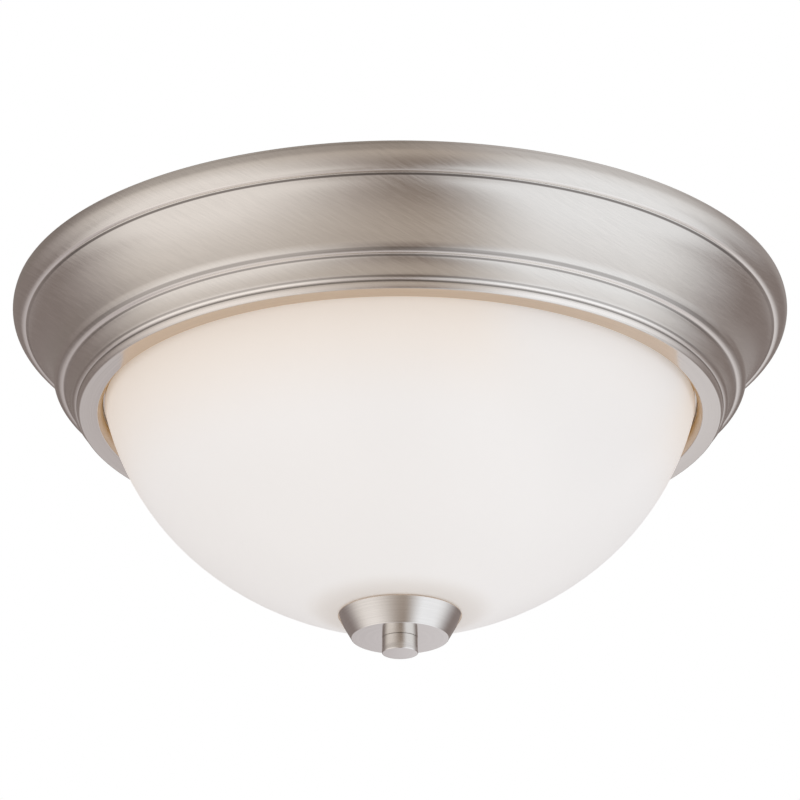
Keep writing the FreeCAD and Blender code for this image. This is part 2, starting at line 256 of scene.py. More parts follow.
def drill(piece: Thing, radius: float, low: Vector, high: Vector) -> None:
    """Drill a round hole between two places in millimetres, one straight over the other.

    Args:
        piece: The piece to drill.
        radius: Radius of the hole.
        low: Lower end.
        high: Upper end.
    """
    pick()
    bpy.ops.mesh.primitive_cylinder_add(vertices=64, radius=radius * MM, depth=(high - low).length * MM,
                                        location=(low + high) / 2 * MM)
    cutter = bpy.context.object
    modify(piece, "BOOLEAN", operation="DIFFERENCE", solver="EXACT", object=cutter)
    bpy.data.objects.remove(cutter, do_unlink=True)


@dataclass(frozen=True)
class Thread:
    """Helical ridge round a core: its radii at foot and crest, its rise in a turn and where it starts."""

    root: float
    crest: float
    pitch: float
    turns: int
    start: float
    rolled: bool
    steps: int
    flat_from: float = 0.44
    flat_to: float = 0.56

    def tooth(self) -> Outline:
        """Section of one turn: an arc where the thread is rolled, a ridge with a flat top where it is cut.

        Returns:
            The section.
        """
        section = Outline((self.root, self.start), chord=30.0)
        end = (self.root, self.start + self.pitch)
        if self.rolled:
            return section.arc((self.crest, self.start + self.pitch / 2), end)
        return section.line((self.crest, self.start + self.pitch * self.flat_from),
                            (self.crest, self.start + self.pitch * self.flat_to), end)

    def build(self, name: str, spindle: Spindle) -> Thing:
        """Wind the tooth with the screw modifier and close both ends of the ridge.

        Args:
            name: The piece's name.
            spindle: The axis, which runs along +X or +Z.

        Returns:
            The thread.
        """
        centred = Spindle(ORIGIN, spindle.along, spindle.out)
        piece = draw(name, [centred.place(p) for p in self.tooth().points])
        bpy.ops.object.mode_set(mode="OBJECT")
        modify(piece, "SCREW", axis="X" if spindle.along.x else "Z", angle=FULL_TURN,
               screw_offset=self.pitch * MM, iterations=self.turns, steps=self.steps,
               render_steps=self.steps, use_merge_vertices=True)
        bpy.ops.object.mode_set(mode="EDIT")
        bpy.ops.mesh.select_all(action="SELECT")
        bpy.ops.transform.translate(value=spindle.foot * MM)
        bpy.ops.mesh.remove_doubles(threshold=MESH_WELD)
        bpy.ops.mesh.select_all(action="DESELECT")
        bpy.ops.mesh.select_non_manifold(extend=False)
        bpy.ops.mesh.fill(use_beauty=False)
        close_piece()
        return piece


def join(first: Thing, second: Thing) -> None:
    """Join the second piece into the first one."""
    pick(first, second)
    bpy.ops.object.join()


def half_turn(piece: Thing, name: str) -> Thing:
    """Copy a piece, its own mesh with it, half a turn about the light's axis.

    Args:
        piece: The front piece.
        name: The copy's name.

    Returns:
        The rear piece.
    """
    pick(piece)
    bpy.ops.object.duplicate(linked=False)
    copy = bpy.context.object
    copy.name = name
    copy.data.name = name
    bpy.ops.object.mode_set(mode="EDIT")
    bpy.ops.mesh.select_all(action="SELECT")
    bpy.ops.transform.rotate(value=math.pi, orient_axis="Z", center_override=(0, 0, 0))
    bpy.ops.object.mode_set(mode="OBJECT")
    return copy


# ---- shader writing ----

NOISE_SPAN: Point = (0.3, 0.7)
MIX_COLOURS = (6, 7)
MIX_RESULT = 2


@dataclass(frozen=True)
class Texture:
    """Fractal noise: features in a metre, octaves, weight of the finer ones, and how much it is warped."""

    scale: float
    detail: float = 3.0
    roughness: float = 0.5
    warp: float = 0.0


def dimmed(colour: Shade, share: float) -> Shade:
    """Darken a colour to a share of itself."""
    return tuple(c * share for c in colour)


class Writer:
    """Writer for a node tree."""

    def __init__(self, tree: bpy.types.NodeTree) -> None:
        """Empty the tree and open it."""
        self.tree = tree
        self.tree.nodes.clear()

    def node(self, kind: str, **settings: Any) -> bpy.types.Node:
        """Add a node.

        Args:
            kind: The node's type.
            settings: Its properties.

        Returns:
            The node.
        """
        made = self.tree.nodes.new(kind)
        for key, value in settings.items():
            setattr(made, key, value)
        return made

    def feed(self, target: Socket, source: Any) -> None:
        """Link a socket, or set it to a plain value.

        Args:
            target: The socket.
            source: Another socket, a number, a vector or a colour without alpha.
        """
        if isinstance(source, bpy.types.NodeSocket):
            self.tree.links.new(source, target)
        else:
            target.default_value = (*source, 1.0) if target.type == "RGBA" else source

    def fill(self, made: bpy.types.Node, **values: Any) -> bpy.types.Node:
        """Link or set a node's inputs.

        Args:
            made: The node.
            values: What goes into each input, named with _ for a space.

        Returns:
            The node.
        """
        for name, value in values.items():
            self.feed(made.inputs[name.replace("_", " ")], value)
        return made

    def pair(self, kind: str, operation: str, first: Any, second: Any) -> bpy.types.Node:
        """Add a node that works on its first two inputs.

        Args:
            kind: The node's type.
            operation: What it does.
            first: A socket or a plain value.
            second: A socket or a plain value.

        Returns:
            The node.
        """
        made = self.node(kind, operation=operation)
        for target, source in zip(made.inputs, (first, second)):
            self.feed(target, source)
        return made

    def math(self, operation: str, first: Any, second: Any = 0.0) -> Socket:
        """Arithmetic on one or two values."""
        return self.pair("ShaderNodeMath", operation, first, second).outputs[0]

    def times(self, first: Any, second: Any) -> Socket:
        """Multiply two values."""
        return self.math("MULTIPLY", first, second)

    def along(self, vector: Socket, direction: Vector) -> Socket:
        """Length of a vector along a direction."""
        return self.pair("ShaderNodeVectorMath", "DOT_PRODUCT", vector, direction).outputs["Value"]

    def spread(self, value: Socket, low: float, high: float,
               to_low: float = 0.0, to_high: float = 1.0) -> Socket:
        """Map a range smoothly on to another.

        Args:
            value: The value to map.
            low: Where the range starts.
            high: Where it ends.
            to_low: Result at the start.
            to_high: Result at the end.

        Returns:
            The mapped value.
        """
        made = self.node("ShaderNodeMapRange", interpolation_type="SMOOTHSTEP")
        self.fill(made, Value=value, From_Min=low, From_Max=high, To_Min=to_low, To_Max=to_high)
        return made.outputs["Result"]

    def about(self, noise: Socket, middle: float, less: float, more: float) -> Socket:
        """Let a noise move a value between middle - less and middle + more."""
        return self.spread(noise, *NOISE_SPAN, middle - less, middle + more)

    def split(self, vector: Socket) -> tuple[Socket, Socket, Socket]:
        """Take a vector apart."""
        return tuple(self.fill(self.node("ShaderNodeSeparateXYZ"), Vector=vector).outputs)

    def joined(self, x: Any, y: Any, z: Any) -> Socket:
        """Put a vector together."""
        return self.fill(self.node("ShaderNodeCombineXYZ"), X=x, Y=y, Z=z).outputs[0]

    def scaled(self, vector: Socket, scale: Triple) -> Socket:
        """Scale a vector."""
        return self.fill(self.node("ShaderNodeMapping"), Vector=vector, Scale=scale).outputs["Vector"]

    def noise(self, vector: Socket, texture: Texture) -> Socket:
        """Read a noise at a place.

        Args:
            vector: The place.
            texture: The noise.

        Returns:
            A value about 0.5.
        """
        return self.fill(self.node("ShaderNodeTexNoise"), Vector=vector, Scale=texture.scale,
                         Detail=texture.detail, Roughness=texture.roughness,
                         Distortion=texture.warp).outputs["Fac"]

    def blend(self, share: Any, first: Any, second: Any) -> Socket:
        """Mix two colours.

        Args:
            share: Share of the second.
            first: Colour socket or plain colour.
            second: Colour socket or plain colour.

        Returns:
            The mixed colour.
        """
        made = self.fill(self.node("ShaderNodeMix", data_type="RGBA"), Factor=share)
        for place, colour in zip(MIX_COLOURS, (first, second)):
            self.feed(made.inputs[place], colour)
        return made.outputs[MIX_RESULT]


class Graph(Writer):
    """Writer for one node material with a Principled shader."""

    def __init__(self, name: str) -> None:
        """Open a new material.

        Args:
            name: The material's name.
        """
        self.material = bpy.data.materials.new(name)
        self.material.use_nodes = True
        super().__init__(self.material.node_tree)
        self.output = self.node("ShaderNodeOutputMaterial")
        self.shader = self.node("ShaderNodeBsdfPrincipled")
        self.fill(self.output, Surface=self.shader.outputs["BSDF"])
        self.place = self.node("ShaderNodeTexCoord").outputs["Object"]

    def set(self, **values: Any) -> None:
        """Link or set the shader's inputs, named with _ for a space."""
        self.fill(self.shader, **values)

    def reach(self) -> Socket:
        """Distance from the light's axis."""
        x, y, _ = self.split(self.place)
        return self.math("SQRT", self.math("ADD", self.times(x, x), self.times(y, y)))

    def bump(self, height: Socket, depth: float, strength: float) -> Socket:
        """Bend the normal by a height of 0 to 1, for a depth in millimetres and a share of the effect."""
        return self.fill(self.node("ShaderNodeBump"), Strength=strength, Distance=depth * MM,
                         Height=height).outputs["Normal"]


@dataclass(frozen=True)
class Finish:
    """A finish: a name, a colour and a roughness. Each kind paints its own graph."""

    name: str
    colour: Shade
    rough: float

    def paint(self, graph: Graph) -> None:
        """Fill the material's graph. Plain paint has a faint mottle."""
        mottle = graph.noise(graph.place, Texture(140.0))
        graph.set(Base_Color=graph.blend(mottle, dimmed(self.colour, 0.9), self.colour), Roughness=self.rough)

    def material(self) -> bpy.types.Material:
        """The finish's material, made the first time it is asked for.

        Returns:
            The material.
        """
        made = bpy.data.materials.get(self.name)
        if made is None:
            graph = Graph(self.name)
            self.paint(graph)
            made = graph.material
        return made


class Grain(Enum):
    """Ways in which metal is brushed or turned."""

    STRAIGHT = "hairlines of a belt drawn across the pan"
    TURNED = "fine rings left by a lathe"


@dataclass(frozen=True)
class BrushedMetal(Finish):
    """Plated metal with hairlines on its walls and lathe rings on its level faces."""

    grain: Grain = Grain.STRAIGHT
    contrast: float = 0.08
    groove: float = 0.02
    groove_depth: float = 0.004
    flat_rough: float = 0.10
    across: Triple = (0.48, -0.36, 0.80)
    belt: Texture = Texture(1600.0, 3.0, 0.75)
    belt_stretch: float = 0.05
    lathe: Texture = Texture(3200.0, 2.0, 0.6)
    lathe_stretch: Triple = (0.01, 0.01, 1.0)
    face: Texture = Texture(3000.0, 2.0)
    face_stretch: float = 0.01
    cloud: Texture = Texture(22.0, 2.0)
    level_from: Point = (0.93, 0.99)

    def hairlines(self, graph: Graph) -> Socket:
        """Fine streaks on the walls.

        Args:
            graph: The material's graph.

        Returns:
            Streak height, 0 to 1.
        """
        if self.grain is Grain.TURNED:
            return graph.noise(graph.scaled(graph.place, self.lathe_stretch), self.lathe)
        across = Vector(self.across).normalized()
        stroke = across.orthogonal().normalized()
        run, side = (graph.times(graph.along(graph.place, way), self.belt_stretch)
                     for way in (stroke, across.cross(stroke)))
        return graph.noise(graph.joined(run, side, graph.along(graph.place, across)), self.belt)

    def rings(self, graph: Graph) -> Socket:
        """Height of the lathe rings on the level faces, 0 to 1."""
        x, _, _ = graph.split(graph.place)
        return graph.noise(graph.joined(graph.reach(), graph.times(x, self.face_stretch), 0.0), self.face)

    def tinted(self, graph: Graph, tone: Socket) -> Socket:
        """The plate's colour: the same all over, unless a finish says otherwise."""
        return tone

    def paint(self, graph: Graph) -> None:
        """Metal whose colour, gloss and surface follow the streaks.

        Args:
            graph: The material's graph.
        """
        _, _, up = graph.split(graph.node("ShaderNodeNewGeometry").outputs["Normal"])
        level = graph.spread(graph.math("ABSOLUTE", up), *self.level_from)
        height = graph.fill(graph.node("ShaderNodeMix", data_type="FLOAT"), Factor=level,
                            A=self.hairlines(graph), B=self.rings(graph)).outputs[0]
        darker = dimmed(self.colour, 1.0 - self.contrast)
        tone = graph.blend(graph.spread(height, *NOISE_SPAN), darker, self.colour)
        cloud = graph.noise(graph.place, self.cloud)
        gloss = graph.math("ADD", graph.about(height, self.rough, 0.04, 0.04),
                           graph.about(cloud, 0.0, 0.015, 0.015))
        smooth = graph.times(level, self.rough - self.flat_rough)
        graph.set(Base_Color=self.tinted(graph, tone), Metallic=1.0,
                  Roughness=graph.math("SUBTRACT", gloss, smooth),
                  Normal=graph.bump(height, self.groove_depth, self.groove))


@dataclass(frozen=True)
class OpalGlass(Finish):
    """White cased glass, satin outside, warm where the lamps light it.

    Zones are heights from where a tone starts to where it is full, except away_zone, which is x times y in
    square metres: it tells the quarters beside a bulb from the quarters away from both.
    """

    cool: Shade = (0.94, 0.93, 0.93)
    warm: Shade = (0.97, 0.82, 0.68)
    # painted amber reflection: the colour glossy rays see of the glass
    painted_reflection: Shade = (0.62, 0.31, 0.05)
    glow: float = 0.39
    rim_zone: Point = (-92.0, -50.0)
    foot_zone: Point = (-133.2, -137.0)
    foot_warmth: float = 0.5
    foot_shade: float = 0.10
    away_zone: Point = (-0.0065, -0.003)
    away_warmth: float = 0.2
    away_shade: float = 0.05
    warm_shade: float = 0.04
    frost: Texture = Texture(420.0, 4.0, 0.6)
    cloud: Texture = Texture(11.0, 2.0)

    def paint(self, graph: Graph) -> None:
        """Satin white glowing warmer by the rim and bulbs, with painted shade that warms and dims it by the
        cup's foot, and a painted amber reflection where the metal mirrors it.

        Args:
            graph: The material's graph.
        """
        x, y, height = graph.split(graph.place)
        near_rim, near_foot = (graph.spread(height, start * MM, full * MM)
                               for start, full in (self.rim_zone, self.foot_zone))
        by_bulb = graph.spread(graph.times(x, y), *self.away_zone, self.away_warmth, 1.0)
        warmth = graph.math("MAXIMUM", near_rim, graph.times(near_foot, self.foot_warmth))
        warmth = graph.times(warmth, by_bulb)
        # Glossy rays see a painted amber reflection colour instead of the glass's glow.
        glossy = graph.node("ShaderNodeLightPath").outputs["Is Glossy Ray"]
        glow = graph.blend(glossy, graph.blend(warmth, self.cool, self.warm), self.painted_reflection)
        # The glow is dimmed where it is warm and away from the bulbs, and by painted shade at the cup's foot.
        shade = graph.math("ADD", graph.times(warmth, self.warm_shade),
                           graph.times(near_foot, self.foot_shade))
        shade = graph.math("ADD", shade, graph.times(graph.math("SUBTRACT", 1.0, by_bulb), self.away_shade))
        frost = graph.noise(graph.place, self.frost)
        cloud = graph.spread(graph.noise(graph.place, self.cloud), *NOISE_SPAN)
        graph.set(Base_Color=graph.blend(cloud, self.colour, dimmed(self.colour, 0.97)),
                  Roughness=graph.about(frost, self.rough, 0.04, 0.05), IOR=1.5, Specular_IOR_Level=0.35,
                  Emission_Color=glow, Emission_Strength=graph.math("SUBTRACT", self.glow, shade),
                  Normal=graph.bump(frost, 0.01, 0.25))


@dataclass(frozen=True)
class PlatedSteel(Finish):
    """Zinc or brass plate: metal with a soft spangle."""

    spangle: float = 260.0
    scuff: Texture = Texture(900.0)

    def paint(self, graph: Graph) -> None:
        """Metal with cells of slightly different tone.

        Args:
            graph: The material's graph.
        """
        cells = graph.fill(graph.node("ShaderNodeTexVoronoi"), Scale=self.spangle, Vector=graph.place)
        tone, _, _ = graph.split(cells.outputs["Color"])
        scuff = graph.noise(graph.place, self.scuff)
        graph.set(Base_Color=graph.blend(tone, dimmed(self.colour, 0.82), self.colour), Metallic=1.0,
                  Roughness=graph.about(scuff, self.rough, 0.06, 0.1), Normal=graph.bump(scuff, 0.01, 0.3))


@dataclass(frozen=True)
class Porcelain(Finish):
    """Glazed ceramic: a little orange peel under a clear coat."""

    wave: Texture = Texture(120.0, 2.0)
    specks: Texture = Texture(1500.0, 1.0)
    speck_from: Point = (0.70, 0.78)

    def paint(self, graph: Graph) -> None:
        """White body, wavy glaze and a few darker specks.

        Args:
            graph: The material's graph.
        """
        specks = graph.spread(graph.noise(graph.place, self.specks), *self.speck_from)
        graph.set(Base_Color=graph.blend(specks, self.colour, dimmed(self.colour, 0.8)), Roughness=self.rough,
                  Coat_Weight=0.7, Coat_Roughness=0.05,
                  Normal=graph.bump(graph.noise(graph.place, self.wave), 0.08, 0.5))


@dataclass(frozen=True)
class FrostedGlass(Finish):
    """Bulb glass, frosted inside."""

    glow: float = 0.5
    lit: Shade = (1.0, 0.80, 0.58)
    frost: Texture = Texture(300.0)

    def paint(self, graph: Graph) -> None:
        """Milky white that glows a little unevenly.

        Args:
            graph: The material's graph.
        """
        frost = graph.noise(graph.place, self.frost)
        graph.set(Base_Color=graph.blend(frost, self.colour, dimmed(self.colour, 0.95)),
                  Roughness=self.rough, IOR=1.5, Coat_Weight=0.4, Coat_Roughness=0.04,
                  Emission_Color=self.lit,
                  Emission_Strength=graph.spread(frost, 0.2, 0.8, self.glow * 0.9, self.glow * 1.1))


@dataclass(frozen=True)
class FibreMat(Finish):
    """Glass wool: matted strands, lighter where they stand up."""

    matted: Triple = (1.0, 1.0, 3.0)
    strands: Texture = Texture(210.0, 6.0, 0.75, 1.6)
    fuzz: Texture = Texture(900.0, 4.0, 0.7, 0.6)
    strand_share: float = 0.65
    fuzz_share: float = 0.35

    def paint(self, graph: Graph) -> None:
        """Strands in two sizes, bumped and shaded.

        Args:
            graph: The material's graph.
        """
        flat = graph.scaled(graph.place, self.matted)
        mixed = graph.math("ADD", graph.times(graph.noise(flat, self.strands), self.strand_share),
                           graph.times(graph.noise(flat, self.fuzz), self.fuzz_share))
        tone = graph.blend(graph.spread(mixed, 0.35, 0.62), dimmed(self.colour, 0.55), self.colour)
        graph.set(Base_Color=tone, Roughness=self.rough, Sheen_Weight=0.4, Sheen_Roughness=0.6,
                  Normal=graph.bump(mixed, 0.7, 0.7))


@dataclass(frozen=True)
class Moulded(Finish):
    """Moulded plastic or rubber with a fine texture."""

    grain: Texture = Texture(1400.0, 2.0)

    def paint(self, graph: Graph) -> None:
        """Even colour with a fine leathery grain.

        Args:
            graph: The material's graph.
        """
        skin = graph.noise(graph.place, self.grain)
        lighter = tuple(min(1.0, c * 1.25 + 0.005) for c in self.colour)
        graph.set(Base_Color=graph.blend(skin, self.colour, lighter),
                  Roughness=graph.about(skin, self.rough, 0.05, 0.05), Normal=graph.bump(skin, 0.02, 0.4))


@dataclass(frozen=True)
class Ring:
    """Ring round the pan where shade or a highlight is painted on its plate: its height, half its width, and
    how strong it is.
    """

    height: float
    half: float
    share: float
    colour: Shade
    core: float = 0.35

    def mask(self, graph: Graph) -> Socket:
        """How much of the ring's colour shows, by height.

        Args:
            graph: The material's graph.

        Returns:
            The share, highest in the middle of the ring.
        """
        _, _, height = graph.split(graph.place)
        off = graph.math("ABSOLUTE", graph.math("SUBTRACT", height, self.height * MM))
        return graph.spread(off, self.half * MM, self.half * self.core * MM, 0.0, self.share)


# Painted shade: dark rings in the moulding's inner corners and above its beads. Painted highlights: bright
# rings on its rounds and lip edge.
PAINTED_SHADE: Shade = (0.13, 0.11, 0.10)
PAINTED_HIGHLIGHT: Shade = (0.93, 0.885, 0.84)
CREASE = (Ring(-10.92, 0.42, 0.6, PAINTED_HIGHLIGHT), Ring(-11.55, 0.42, 0.85, PAINTED_SHADE))
UPPER_BEAD = (Ring(-37.2, 0.75, 0.5, PAINTED_SHADE), Ring(-38.0, 0.42, 0.9, PAINTED_HIGHLIGHT),
              Ring(-38.6, 0.4, 0.62, PAINTED_SHADE))
LOWER_BEAD = (Ring(-45.9, 0.5, 0.46, PAINTED_SHADE), Ring(-46.65, 0.42, 1.0, PAINTED_HIGHLIGHT),
              Ring(-47.25, 0.45, 0.72, PAINTED_SHADE))
LIP_EDGE = (Ring(-48.8, 1.0, 0.8, PAINTED_HIGHLIGHT),)


@dataclass(frozen=True)
class PanFinish(BrushedMetal):
    """Brushed plate on the moulding and white enamel in the recess.

    The rings of painted shade and painted highlight fade between two shares of sideways to forwards, to what
    is left of them at both sides.
    """

    enamel: Shade = (0.86, 0.85, 0.82)
    enamel_rough: float = 0.35
    peel: Texture = Texture(500.0, 2.0)
    recess_r: float = 121.5
    # rings of painted shade and painted highlight on the moulding
    painted_rings: tuple[Ring, ...] = CREASE + UPPER_BEAD + LOWER_BEAD + LIP_EDGE
    painted_rings_from_r: float = 134.0
    fade: Point = (0.80, 0.96)
    faded: float = 0.25

    def tinted(self, graph: Graph, tone: Socket) -> Socket:
        """Paint shade into the moulding's inner corners and above its beads, and paint highlights on its
        rounds and lip edge.

        Args:
            graph: The material's graph.
            tone: The plate's colour.

        Returns:
            The colour with its rings.
        """
        x, _, _ = graph.split(graph.place)
        sideways = graph.math("DIVIDE", graph.math("ABSOLUTE", x), graph.reach())
        shown = graph.times(graph.math("GREATER_THAN", graph.reach(), self.painted_rings_from_r * MM),
                            graph.spread(sideways, *self.fade, 1.0, self.faded))
        for ring in self.painted_rings:
            tone = graph.blend(graph.times(ring.mask(graph), shown), tone, ring.colour)
        return tone

    def paint(self, graph: Graph) -> None:
        """Mix the plate with enamel by distance from the axis.

        Args:
            graph: The material's graph.
        """
        super().paint(graph)
        peel = graph.noise(graph.place, self.peel)
        enamel = graph.fill(graph.node("ShaderNodeBsdfPrincipled"), Roughness=self.enamel_rough,
                            Base_Color=graph.blend(peel, self.enamel, dimmed(self.enamel, 0.96)),
                            Normal=graph.bump(peel, 0.02, 0.4))
        inside = graph.math("LESS_THAN", graph.reach(), self.recess_r * MM)
        mix = graph.node("ShaderNodeMixShader")
        for target, source in zip(mix.inputs, (inside, graph.shader.outputs["BSDF"], enamel.outputs["BSDF"])):
            graph.feed(target, source)
        graph.fill(graph.output, Surface=mix.outputs[0])


pan_nickel = PanFinish("brushed nickel pan", (0.78, 0.745, 0.70), 0.21)
turned_nickel = BrushedMetal("turned nickel", (0.825, 0.80, 0.77), 0.14, grain=Grain.TURNED, contrast=0.06)
opal = OpalGlass("opal glass", (0.78, 0.77, 0.76), 0.42)
zinc = PlatedSteel("zinc plate", (0.70, 0.71, 0.72), 0.34)
brass = PlatedSteel("drawn brass", (0.78, 0.58, 0.30), 0.26)
tin = PlatedSteel("tinned solder", (0.66, 0.66, 0.64), 0.4)
aluminium = PlatedSteel("rolled aluminium", (0.80, 0.80, 0.79), 0.28)
earth_green = Moulded("green passivated steel", (0.03, 0.22, 0.07), 0.35)
nylon = Moulded("black nylon", (0.02, 0.02, 0.02), 0.45)
soft_rubber = Moulded("clear grey rubber", (0.62, 0.60, 0.56), 0.5)
glaze = Porcelain("white glaze", (0.86, 0.85, 0.81), 0.2)
black_glass = Porcelain("black glass", (0.012, 0.012, 0.015), 0.12)
bulb_frost = FrostedGlass("frosted bulb glass", (0.90, 0.88, 0.84), 0.35)
wool = FibreMat("glass wool", (0.86, 0.72, 0.38), 0.95)


def dress(piece: Thing, finish: Finish) -> None:
    """Give every slot of an object one finish.

    Args:
        piece: The object.
        finish: Its finish.
    """
    material = finish.material()
    if not piece.material_slots:
        piece.data.materials.append(material)
    for material_slot in piece.material_slots:
        material_slot.material = material


def hand_over(piece: Thing, body: str, slot: str, finish: Finish, *replaced: str) -> None:
    """Finish a new piece: dress it, tie it to its body and let it stand for CAD nodes.

    Args:
        piece: The finished object.
        body: The CAD body that it rides on.
        slot: The record's material slot; not used.
        finish: Its finish.
        replaced: CAD nodes that it stands for.
    """
    dress(piece, finish)
    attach(piece, body)
    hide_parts(*replaced)
    log.info("%s: %d faces on %s", piece.name, len(piece.data.polygons), body)


def keep(finish: Finish, *names: str) -> None:
    """Keep CAD nodes as they are and dress them.

    Args:
        finish: Their finish.
        names: The nodes.
    """
    for name in names:
        dress(nodes[name], finish)
        log.info("%s: kept, %s", name, finish.name)


# ---- the pan ----


@dataclass
class Canopy:
    """Spun pan with its stepped moulding, the lip round the bowl and the drilled plate.

    The walks name the section's corners; the small numbers added to them are the sizes of the rounds.
    """

    sheet: float = 0.9
    rim_r: float = 168.3
    hem: float = 4.8
    crease: Point = (161.9, -12.3)
    shoulder: Point = (149.4, -34.4)
    cove_pull: Point = (151.9, -17.0)
    ledger: Point = (144.8, -38.3)
    small_cove_pull: Point = (142.4, -39.7)
    bead: Point = (141.2, -45.9)
    lip_outer_r: float = 138.9
    lip_inner_r: float = 130.35
    lip_z: float = -49.95
    lip_wall: Point = (128.15, -47.0)
    seat_z: float = -44.4
    recess_r: float = 120.5
    recess_top_r: float = 117.0
    plate_round: float = 1.5
    plate_z: float = -15.0
    centre_hole_r: float = 5.2
    wire_hole_r: float = 6.5
    wire_hole_y: float = 27.0

    def moulding(self) -> Outline:
        """Walk the room side, from the ceiling down to the lip.

        Returns:
            The outline so far.
        """
        crease_r, crease_z = self.crease
        shoulder_r, shoulder_z = self.shoulder
        ledger_r, ledger_z = self.ledger
        bead_r, bead_z = self.bead
        lip_r, lip_z = self.lip_outer_r, self.lip_z
        walk = Outline((self.rim_r - self.hem, 0.0), chord=5.0)
        walk.line((self.rim_r - 0.9, 0.0)).arc((self.rim_r - 0.58, -0.13), (self.rim_r - 0.45, -0.45))
        walk.arc((self.rim_r - 0.1, -4.5), (crease_r + 2.6, crease_z + 1.8))
        walk.bulge((crease_r + 0.5, crease_z + 1.2), -0.18).line((crease_r + 0.2, crease_z + 1.0))
        walk.curve(self.cove_pull, (shoulder_r + 0.1, shoulder_z + 0.4))
        walk.bulge((ledger_r + 0.35, ledger_z + 0.15), -1.05).line((ledger_r, ledger_z - 0.1))
        walk.curve(self.small_cove_pull, (bead_r + 0.3, bead_z + 1.3))
        walk.bulge((lip_r + 0.4, bead_z - 1.05), -0.48).line((lip_r + 0.2, bead_z - 1.25))
        walk.bulge((lip_r - 0.6, lip_z + 0.35), -0.15)
        return walk.arc((lip_r - 0.95, lip_z + 0.07), (lip_r - 1.5, lip_z))

    def recess(self, walk: Outline) -> None:
        """Walk on from the lip, up its inner wall, over the ledge and up to the plate.

        Args:
            walk: The outline so far.
        """
        inner_r, lip_z, seat_z, wall_r = self.lip_inner_r, self.lip_z, self.seat_z, self.lip_wall[0]
        top_r, plate_z = self.recess_top_r, self.plate_z
        walk.line((inner_r, lip_z)).bulge((inner_r - 0.4, lip_z + 0.3), -0.08).bulge(self.lip_wall, -0.2)
        walk.line((wall_r, seat_z + 0.4)).arc((wall_r - 0.12, seat_z + 0.12), (wall_r - 0.4, seat_z))
        walk.line((self.recess_r + 0.6, seat_z))
        walk.arc((self.recess_r + 0.18, seat_z + 0.18), (self.recess_r, seat_z + 0.6))
        walk.line((top_r, plate_z - self.plate_round))
        walk.arc((top_r - 0.44, plate_z - 0.44), (top_r - self.plate_round, plate_z))
        walk.line((self.centre_hole_r, plate_z))

    def behind(self, point: Point) -> Point:
        """Move a cove's point to the hidden side of the sheet."""
        return point[0] - self.sheet * 0.85, point[1] + self.sheet * 0.5

    def back(self, walk: Outline) -> None:
        """Walk back to the ceiling along the hidden side, one sheet's thickness away.

        Args:
            walk: The outline so far.
        """
        crease_r, crease_z = self.crease
        shoulder_r, shoulder_z = self.shoulder
        ledger_r, ledger_z = self.ledger
        bead_r, bead_z = self.bead
        wall_r, wall_z = self.lip_wall
        sheet, top_r, plate_z, lip_r = self.sheet, self.recess_top_r, self.plate_z, self.lip_outer_r
        walk.line((self.centre_hole_r, plate_z + sheet), (top_r - self.plate_round, plate_z + sheet))
        walk.arc((top_r + 0.2, plate_z + 0.2), (top_r + sheet, plate_z - self.plate_round))
        walk.line((self.recess_r + sheet - 0.1, self.seat_z + sheet), (wall_r + sheet, self.seat_z + sheet),
                  (wall_r + sheet, wall_z), (self.lip_inner_r + 0.45, self.lip_z + sheet))
        walk.line((lip_r - 1.3, self.lip_z + sheet), (lip_r - 0.6, bead_z - 0.6),
                  (bead_r - 1.8, bead_z + 0.7), (bead_r - 0.7, bead_z + 1.5))
        walk.curve(self.behind(self.small_cove_pull), (ledger_r - 0.8, ledger_z + 0.7))
        walk.line((ledger_r + 1.3, ledger_z + 1.3), (shoulder_r - 1.1, shoulder_z - 0.3),
                  (shoulder_r - 0.8, shoulder_z + 0.5))
        walk.curve(self.behind(self.cove_pull), (crease_r, crease_z + 1.9))
        walk.line((crease_r + 1.5, crease_z + 2.5)).bulge((self.rim_r - 0.5 - sheet, -sheet), 1.5)
        walk.line((self.rim_r - self.hem, -sheet))

    def build(self) -> None:
        """Turn the pan and drill its wire hole."""
        walk = self.moulding()
        self.recess(walk)
        self.back(walk)
        pan = turn("spun_pan", walk, steps=256)
        here = Vector((0, self.wire_hole_y, self.plate_z))
        drill(pan, self.wire_hole_r, here - 2 * UP, here + 3 * UP)
        soften(pan, 28)
        hand_over(pan, "canopy", "brushed_nickel", pan_nickel, "canopy_pan")


# ---- the bowl and its finial ----


